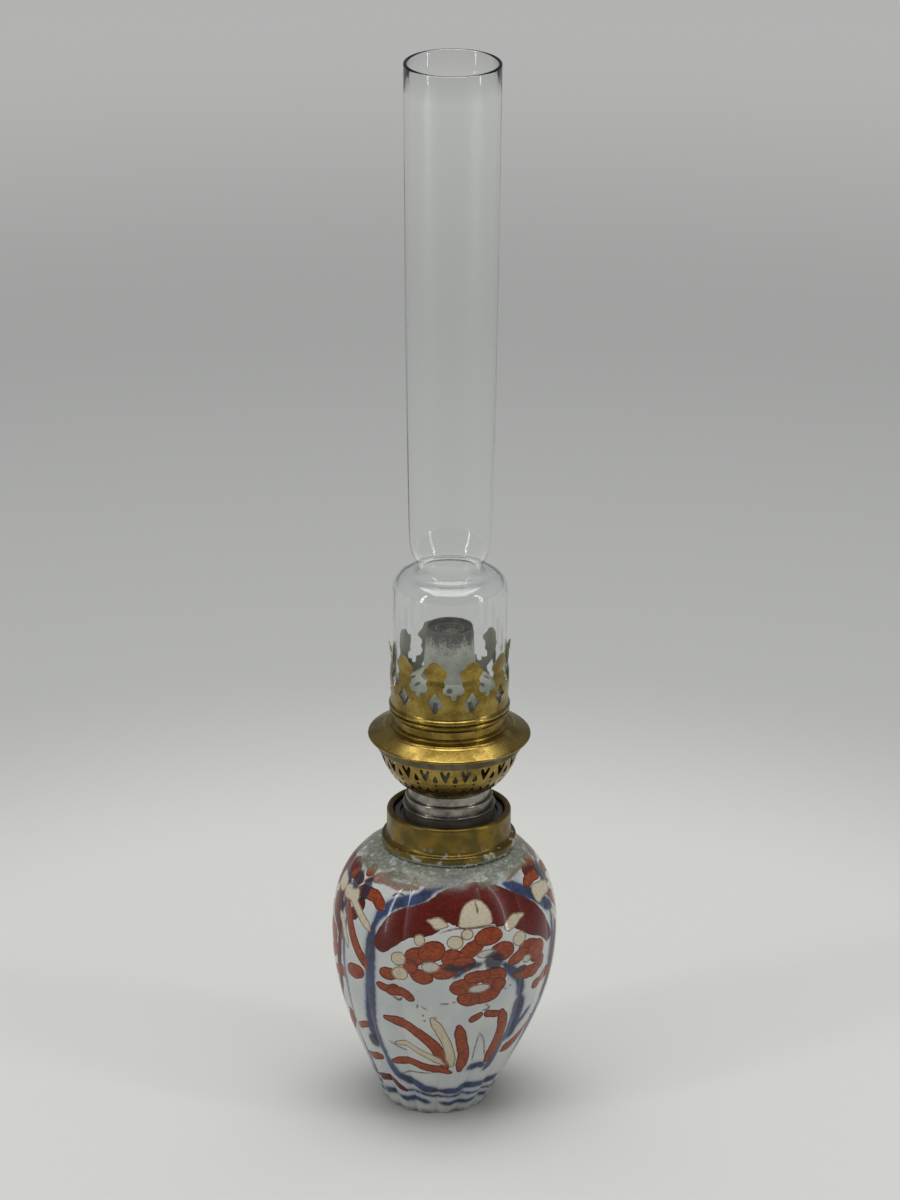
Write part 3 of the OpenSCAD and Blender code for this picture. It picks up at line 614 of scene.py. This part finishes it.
def inside(name, soft, spread=1.0, edge=0.0):
    """1 inside the strokes of a colour and 0 outside, with a soft and wobbling edge."""
    return (p.attribute(name) + wobble * spread).fade(edge + soft, edge - soft)


halo = inside("blue", 1.5, 1.2, 0.9) * 0.4
colour = p.mix(halo, colour, (0.12, 0.18, 0.33))
ink = p.mix(pool.fade(0.34, 0.62), NAVY, BLUE)
colour = p.mix(inside("blue", 0.75) * p.blend(brush, 0.86, 1.0), colour, ink)
REDS = (("red", BANNER, BANNER_DEEP), ("orange", ORANGE, ORANGE_DEEP), ("petal", ORANGE, ORANGE_DEEP))
for name, light, deep in REDS:
    shade = p.mix(brush.fade(0.3, 0.68) * 0.8 + pool.fade(0.4, 0.7) * 0.2, light, deep)
    edge = p.attribute(name) + wobble * 0.5
    colour = p.mix(edge.fade(0.45, 0.25), colour, shade)
    rim = (edge.size()).fade(0.42, 0.16) * 0.8
    colour = p.mix(rim, colour, BROWN)
for name, tint in (("cream", CREAM), ("pale", (0.52, 0.50, 0.44))):
    edge = p.attribute(name) + wobble * 0.4
    colour = p.mix(edge.fade(0.4, 0.2), colour, p.mix(brush.fade(0.4, 0.75) * 0.4, tint, (0.42, 0.27, 0.13)))
    colour = p.mix(edge.size().fade(0.34, 0.1) * 0.75, colour, BROWN)
colour = p.mix(inside("line", 0.3, 0.3, 0.1) * 0.85, colour, BROWN)
colour = p.mix(inside("gold", 0.5, 1.1) * 0.8, colour, p.mix(brush.fade(0.35, 0.6), GOLD, BANNER))
colour = p.mix(inside("knot", 1.0, 1.4) * 0.9, colour, (0.014, 0.018, 0.034))
smear = (z + p.noise(9, detail=4, shift=5) * 9).fade(110, 114)
smear = smear * p.noise(3, detail=4, shift=8).fade(0.26, 0.46)
colour = p.mix(smear * 0.88, colour, p.mix(brush.fade(0.4, 0.7), SMEAR, (0.24, 0.26, 0.21)))
# The foot rim darkens towards the floor: greyish-brown unglazed biscuit, plus painted shade where the foot
# meets the floor.
foot_biscuit_and_shade = z.fade(3.2, 1.0) * p.noise(4, detail=3, shift=9).fade(0.3, 0.6)
colour = p.mix(foot_biscuit_and_shade * 0.8, colour, (0.20, 0.18, 0.15))
enamel = p.attribute("orange").lowest(p.attribute("petal")).lowest(p.attribute("red")).fade(0.4, -0.3)
rough = p.blend(enamel.highest(smear), 0.09, 0.3)
speck = p.noise(0.9, detail=1, shift=21).fade(0.72, 0.78)
colour = p.mix(speck * 0.5, colour, (0.14, 0.12, 0.10))
normal = p.bump(p.noise(12, detail=2, shift=2), 0.12, p.bump(enamel + speck * 0.6, 0.05))
porcelain = p.finish(
    base_color=colour,
    roughness=rough,
    specular_ior_level=0.32,
    coat_weight=0.15,
    coat_roughness=0.06,
    normal=normal,
)
vase.data.materials.append(porcelain)
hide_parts("vase")
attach(vase, "vase")
print("porcelain:", len(p.tree.nodes), "nodes")

# %% [markdown]
# ## Finishes of the metal
# All the brass was spun or pressed from sheet, so it has fine turning lines, drifts of tarnish and
# small dark spots. One function makes each kind from its colours. A tint that goes by height or by
# which way the surface faces is laid over it, such as the char at the mouth of the wick tube.


# %% Metal finishes
def aged_metal(name, bright, dark, spots, polish, overlay=None):
    """Spun sheet: fine turning lines, darker drifts where hands don't reach, and small spots."""
    p = Paint(name)
    x, y, z = p.axes()
    across = p.radius() * 1.7 + z * 2.3
    lines = p.node("ShaderNodeTexNoise", {"noise_dimensions": "1D"}, {"W": across, "Scale": 4.0})
    drift = p.noise(8, detail=5, roughness=0.62)
    fleck = p.noise(1.3, detail=3, shift=7)
    colour = p.mix(drift.fade(0.36, 0.66), bright, dark)
    colour = p.mix(fleck.fade(0.60, 0.76) * 0.75, colour, spots)
    metallic = 1.0
    rough = drift * 0.26 + fleck * 0.12 + lines * 0.07 + (polish - 0.22)
    if overlay:
        share, tint = overlay(p, x, y, z, drift, fleck)
        colour = p.mix(share, colour, tint)
        metallic = 1 - share * 0.8
        rough = p.blend(share, rough, 0.7)
    normal = p.bump(lines, 0.008, p.bump(fleck, 0.010, p.bump(drift, 0.02)))
    return p.finish(base_color=colour, metallic=metallic, roughness=rough, normal=normal)


def faces_inward(p, x, y):
    """1 where a surface faces the lamp's axis."""
    facing = p.node("ShaderNodeSeparateXYZ", inputs={0: p.node("ShaderNodeTexCoord", output="Normal")})
    outputs = facing.socket.node.outputs
    return (x * Value(p, outputs[0]) + y * Value(p, outputs[1])).fade(2.0, -6.0)


def verdigris(p, x, y, z, drift, fleck):
    """Pale grey-green bloom on the inner faces of the crown."""
    return faces_inward(p, x, y) * drift.fade(0.22, 0.46) * 0.9, (0.52, 0.55, 0.43)


def plaster_marks(p, x, y, z, drift, fleck):
    """Plaster left on the collar, most of it at the foot."""
    return z.fade(121, 116) * p.noise(5, detail=4, shift=31).fade(0.56, 0.64) * 0.85, (0.46, 0.46, 0.40)


def brown_foot(p, x, y, z, drift, fleck):
    """Dried oil on the lower part of the burner's ring."""
    return z.fade(132, 127) * drift.fade(0.2, 0.5) * 0.7, (0.10, 0.075, 0.045)


def char(p, x, y, z, drift, fleck):
    """Soot at the mouth of the wick tube, thin and streaky below."""
    streak = p.noise(4, detail=4, stretch=(1, 1, 0.35), shift=5)
    return (z + (streak - 0.5) * 10 + (fleck - 0.5) * 12).fade(199, 206) * 0.92, (0.085, 0.078, 0.066)


BRIGHT, DARK, SPOT = (0.38, 0.268, 0.066), (0.20, 0.134, 0.030), (0.07, 0.045, 0.018)
brass = aged_metal("brass", BRIGHT, DARK, SPOT, 0.27)
crown_brass = aged_metal("crown_brass", BRIGHT, DARK, SPOT, 0.27, verdigris)
OLD_BRIGHT, OLD_DARK, COPPERY = (0.23, 0.148, 0.032), (0.115, 0.092, 0.028), (0.24, 0.095, 0.03)
old_brass = aged_metal("old_brass", OLD_BRIGHT, OLD_DARK, COPPERY, 0.36, plaster_marks)
nickel = aged_metal("nickel", (0.37, 0.35, 0.31), (0.18, 0.165, 0.14), (0.09, 0.075, 0.06), 0.24, brown_foot)
zinc = aged_metal("zinc", (0.20, 0.20, 0.19), (0.10, 0.10, 0.095), (0.32, 0.32, 0.30), 0.55)
skirt_metal = aged_metal("gallery_skirt", (0.20, 0.17, 0.11), (0.10, 0.08, 0.05), (0.05, 0.04, 0.03), 0.34)
print("metals:", [m.name for m in (brass, crown_brass, old_brass, nickel, zinc, skirt_metal)])

# %% [markdown]
# ## Finishes of the pale tubes, leather, plaster and cotton
# The parts near the flame have lost their shine: a chalky grey-green coat with soot over it.


# %% Dull finishes
def dull(name, light, deep, size, depth, rough=0.85, overlay=None):
    """A matte material with drifts of two tones and a grainy surface."""
    p = Paint(name)
    x, y, z = p.axes()
    drift = p.noise(size, detail=5, roughness=0.6)
    grain = p.noise(size * 0.12, detail=3, shift=13)
    colour = p.mix(drift.fade(0.34, 0.66), light, deep)
    colour = p.mix(grain.fade(0.55, 0.75) * 0.5, colour, tuple(c * 0.55 for c in deep))
    if overlay:
        share, tint = overlay(p, x, y, z, drift, grain)
        colour = p.mix(share, colour, tint)
    normal = p.bump(grain, depth, p.bump(drift, depth * 3))
    return p.finish(base_color=colour, roughness=rough - grain * 0.2, normal=normal)


chalky = dull("patinated_brass", (0.76, 0.78, 0.66), (0.54, 0.57, 0.46), 6, 0.05, overlay=char)
leather = dull("washer_leather", (0.10, 0.055, 0.03), (0.04, 0.022, 0.012), 3, 0.08)
plaster = dull("cement", (0.42, 0.43, 0.36), (0.24, 0.25, 0.19), 4, 0.15)

cotton = Paint("wick_cotton")
x, y, z = cotton.axes()
turns = y.math("ARCTAN2", x) * 60
weave = (turns.math("SINE") * (z * 5.2).math("SINE")) * 0.5 + 0.5
oil = cotton.noise(12, detail=4).fade(0.3, 0.7)
tone = cotton.mix(oil, (0.60, 0.55, 0.43), (0.36, 0.30, 0.19))
tone = cotton.mix(z.fade(196, 205), tone, (0.03, 0.027, 0.024))
tone = cotton.mix(weave * 0.35, tone, (0.16, 0.13, 0.09))
wick_cotton = cotton.finish(base_color=tone, roughness=0.95, normal=cotton.bump(weave, 0.12))
print("dull finishes:", [m.name for m in (chalky, leather, plaster, wick_cotton)])

# %% [markdown]
# ## Clear glass
# Hand-drawn glass has faint upright streaks and a little dust. The streaks only bend the surface,
# and the dust only dulls it, so the glass itself stays clear. Then every node gets its finish.

# %% Glass
p = Paint("chimney_glass")
streaks = p.noise(7, detail=3, stretch=(1, 1, 0.04))
dust = p.noise(1.1, detail=2, shift=17).fade(0.66, 0.82)
clear_glass = p.finish(
    base_color=(0.996, 1.0, 0.998),
    roughness=dust * 0.12,
    transmission_weight=1.0,
    ior=1.47,
    normal=p.bump(streaks, 0.10),
)

FINISHES = {
    "cement_bed": plaster,
    "collar": old_brass,
    "font_shell": zinc,
    "font_lid": zinc,
    "font_thread_ring": nickel,
    "sealing_washer": leather,
    "burner_ring": nickel,
    "gallery_skirt": skirt_metal,
    "wick_tube": chalky,
    "draught_tube": chalky,
    "draught_duct": chalky,
    "air_deck": chalky,
    "crown": crown_brass,
    "wick": wick_cotton,
    "chimney": clear_glass,
}
for name, node in nodes.items():
    node.data.materials.clear()
    node.data.materials.append(FINISHES.get(name, brass))
print("finished", len(nodes), "nodes")

# %% [markdown]
# ## The glass chimney
# The chimney is turned from one profile: a straight foot, a round shoulder, a drawn-in waist, and a
# tube that widens a little to the mouth. Both rims are melted round.

# %% Chimney
GLASS_LOW, GLASS_TOP = (c[2] for c in extent("chimney"))
GLASS_FOOT_R, GLASS_T = 23.0, 1.5
STRAIGHT, ROUND = 50.0, 7.0
WAIST_R, TUBE_R, MOUTH_R = 13.05, 16.6, 19.36
RIM_R = 0.6


def arc(centre, radius, start, end, count):
    """Points of a circle between two angles in degrees."""
    t = np.radians(np.linspace(start, end, count))[:, None]
    return np.array(centre) + radius * np.hstack([np.cos(t), np.sin(t)])


def offset(path, distance):
    """The same line, moved to its left."""
    step = np.gradient(path, axis=0)
    step /= np.linalg.norm(step, axis=1)[:, None]
    return path + distance * np.stack([-step[:, 1], step[:, 0]], 1)


def turned(name, section, segments=128, smooth_angle=40):
    """A solid of revolution from a closed section of (radius, height) points."""
    turn = np.arange(segments) * 2 * math.pi / segments
    r, z = section[:, :1], section[:, 1:]
    points = np.stack([r * np.sin(turn), -r * np.cos(turn), z + 0 * turn], -1).reshape(-1, 3)
    faces = grid_faces(len(section) + 1, segments)
    total = len(points)
    return new_object(name, points, [[i % total for i in face] for face in faces], smooth_angle)


bend = GLASS_LOW + STRAIGHT
waist = bend + ROUND + 2.2
outer = np.vstack([
    [(GLASS_FOOT_R, z) for z in np.linspace(GLASS_LOW + RIM_R, bend - 1, 6)],
    arc((GLASS_FOOT_R - ROUND, bend), ROUND, 0, 84, 14),
    curve((GLASS_FOOT_R - ROUND - 0.6, bend + ROUND), (WAIST_R + 1.2, bend + ROUND + 0.2),
          (WAIST_R, waist - 1.4), (WAIST_R, waist), 10)[1:],
    curve((WAIST_R, waist), (WAIST_R, waist + 2.8), (TUBE_R - 0.3, waist + 5.3),
          (TUBE_R, waist + 12.8), 16)[1:],
    curve((TUBE_R, waist + 12.8), (TUBE_R + 0.7, waist + 28.8), (MOUTH_R - 0.96, waist + 96),
          (MOUTH_R, GLASS_TOP - RIM_R), 30)[1:],
])
inner = offset(outer, GLASS_T)
rim = np.array((RIM_R, 0))
top_rim = np.vstack([arc(outer[-1] - rim, RIM_R, 15, 90, 5), arc(inner[-1] + rim, RIM_R, 90, 165, 5)])
low_rim = np.vstack([arc(inner[0] + rim, RIM_R, 195, 270, 5), arc(outer[0] - rim, RIM_R, 270, 345, 5)])
section = np.vstack([outer, top_rim, inner[::-1], low_rim])
section[:, 1] = np.clip(section[:, 1], GLASS_LOW, GLASS_TOP)
chimney = turned("glass_chimney", section, 144)
chimney.data.materials.append(clear_glass)
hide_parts("chimney")
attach(chimney, "chimney")
print("chimney:", len(chimney.data.polygons), "faces")

# %% [markdown]
# ## The wick
# The wick is one flat woven band rolled into a sleeve. Its edges meet above the draught duct and
# part below it. Ribs run round it where the weft crosses, and its top edge is a little ragged.

# %% Wick
WICK_IN, WICK_OUT = 6.2, 8.8
WICK_LOW, WICK_HIGH = (c[2] for c in extent("wick"))
SPLIT_TOP, SPLIT_HALF, SEAM_HALF = 171.0, 4.3, 0.06
RIB, FRAY = 0.07, 0.35
around_count, up_count = 120, 170
t = np.linspace(0, 1, around_count)
z = np.linspace(WICK_LOW, WICK_HIGH, up_count)
opening = np.where(z < SPLIT_TOP, SPLIT_HALF, SEAM_HALF)


def wick_face(radius, rib):
    """Rows of points on the inner or outer face of the sleeve, from one edge round to the other."""
    start = np.arcsin(opening / radius)[:, None]
    turn = start + t[None] * (2 * math.pi - 2 * start)
    ripple = rib * (0.5 + 0.5 * np.sin(turn * 60) * np.sin(z[:, None] * 3.1))
    ragged = np.where(np.arange(up_count) == up_count - 1, 1.0, 0.0)[:, None]
    fray = -FRAY * ragged * (0.5 + 0.5 * np.sin(turn * 23) * np.sin(turn * 7 + 1))
    r = radius - ripple
    return np.stack([r * np.cos(turn), r * np.sin(turn), z[:, None] + fray], -1)


rows = np.concatenate([wick_face(WICK_OUT, RIB), wick_face(WICK_IN + RIB, RIB)[:, ::-1]], 1)
width = 2 * around_count
wick_faces = grid_faces(up_count, width)
low_row = np.arange(width)
for edge, flip in ((low_row, True), (low_row + (up_count - 1) * width, False)):
    for k in range(around_count - 1):
        face = [edge[k], edge[k + 1], edge[width - 2 - k], edge[width - 1 - k]]
        wick_faces.append([int(i) for i in (face[::-1] if flip else face)])
wick = new_object("woven_wick", rows.reshape(-1, 3), wick_faces, 50)
wick.data.materials.append(wick_cotton)
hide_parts("wick")
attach(wick, "wick")
print("wick:", len(wick.data.polygons), "faces")

# %% [markdown]
# ## Plaster under the collar
# The plaster that holds the collar was squeezed out at its foot and never wiped off. A wavy ring is
# turned into lumps by Geometry Nodes, which scatter crumbs of random size over its outer face.

# %% Plaster
CRUMB_SIZE, CRUMB_DENSITY, CRUMB_SEED = 0.5, 0.22, 4


def crumb_tree():
    """Scatters faceted crumbs over a mesh and joins them to it."""
    tree = bpy.data.node_groups.new("crumbs", "GeometryNodeTree")
    sockets = {}
    tree.interface.new_socket("Geometry", in_out="INPUT", socket_type="NodeSocketGeometry")
    for label, kind in (("Size", "Float"), ("Density", "Float"), ("Seed", "Int"), ("Material", "Material")):
        made = tree.interface.new_socket(label, in_out="INPUT", socket_type="NodeSocket" + kind)
        sockets[label] = made.identifier
    tree.interface.new_socket("Geometry", in_out="OUTPUT", socket_type="NodeSocketGeometry")
    start, end = tree.nodes.new("NodeGroupInput"), tree.nodes.new("NodeGroupOutput")
    scatter = tree.nodes.new("GeometryNodeDistributePointsOnFaces")
    crumb = tree.nodes.new("GeometryNodeMeshIcoSphere")
    vary = tree.nodes.new("FunctionNodeRandomValue")
    spin = tree.nodes.new("FunctionNodeRandomValue")
    spin.data_type = "FLOAT_VECTOR"
    put = tree.nodes.new("GeometryNodeInstanceOnPoints")
    join, real = tree.nodes.new("GeometryNodeJoinGeometry"), tree.nodes.new("GeometryNodeRealizeInstances")
    paint = tree.nodes.new("GeometryNodeSetMaterial")
    crumb.inputs["Subdivisions"].default_value = 2
    vary.inputs[2].default_value, vary.inputs[3].default_value = 0.45, 1.3
    spin.inputs[1].default_value = (6.0, 6.0, 6.0)
    link = tree.links.new
    link(start.outputs["Geometry"], scatter.inputs["Mesh"])
    link(start.outputs["Density"], scatter.inputs["Density"])
    link(start.outputs["Seed"], scatter.inputs["Seed"])
    link(start.outputs["Size"], crumb.inputs["Radius"])
    link(scatter.outputs["Points"], put.inputs["Points"])
    link(crumb.outputs["Mesh"], put.inputs["Instance"])
    link(vary.outputs[1], put.inputs["Scale"])
    link(spin.outputs[0], put.inputs["Rotation"])
    link(start.outputs["Geometry"], join.inputs[0])
    link(put.outputs["Instances"], join.inputs[0])
    link(join.outputs[0], real.inputs[0])
    link(real.outputs[0], paint.inputs["Geometry"])
    link(start.outputs["Material"], paint.inputs["Material"])
    link(paint.outputs[0], end.inputs[0])
    return tree, sockets


turn = np.arange(180) * 2 * math.pi / 180
swell = 0.35 * np.sin(turn * 3 + 1) + 0.25 * np.sin(turn * 8) + 0.15 * np.sin(turn * 19 + 2)
# Radius, height and how much of the swelling each point takes
section = [(23.35, 113.1, 0), (24.5, 113.05, 0), (26.0, 112.95, 0), (26.75, 113.3, 1), (26.9, 113.9, 1),
           (26.5, 114.4, 0), (24.6, 114.5, 0), (24.6, 123.9, 0), (23.35, 123.9, 0)]
ring = np.vstack([
    np.stack([(r + k * swell) * np.sin(turn), -(r + k * swell) * np.cos(turn), z + 0 * turn], 1)
    for r, z, k in section
])
ring_faces = [[i % len(ring) for i in face] for face in grid_faces(len(section) + 1, len(turn))]
plaster_ring = new_object("plaster", ring, ring_faces, 60)
tree, sockets = crumb_tree()
crumbs = plaster_ring.modifiers.new("crumbs", "NODES")
crumbs.node_group = tree
crumbs[sockets["Size"]] = CRUMB_SIZE * MM
crumbs[sockets["Density"]] = CRUMB_DENSITY / MM**2
crumbs[sockets["Seed"]] = CRUMB_SEED
crumbs[sockets["Material"]] = plaster
plaster_ring.data.materials.append(plaster)
bpy.context.view_layer.update()
settled = bpy.data.meshes.new_from_object(plaster_ring.evaluated_get(bpy.context.evaluated_depsgraph_get()))
plaster_ring.modifiers.clear()
plaster_ring.data = settled
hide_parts("cement_bed")
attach(plaster_ring, "vase")
print("plaster:", len(settled.polygons), "faces")
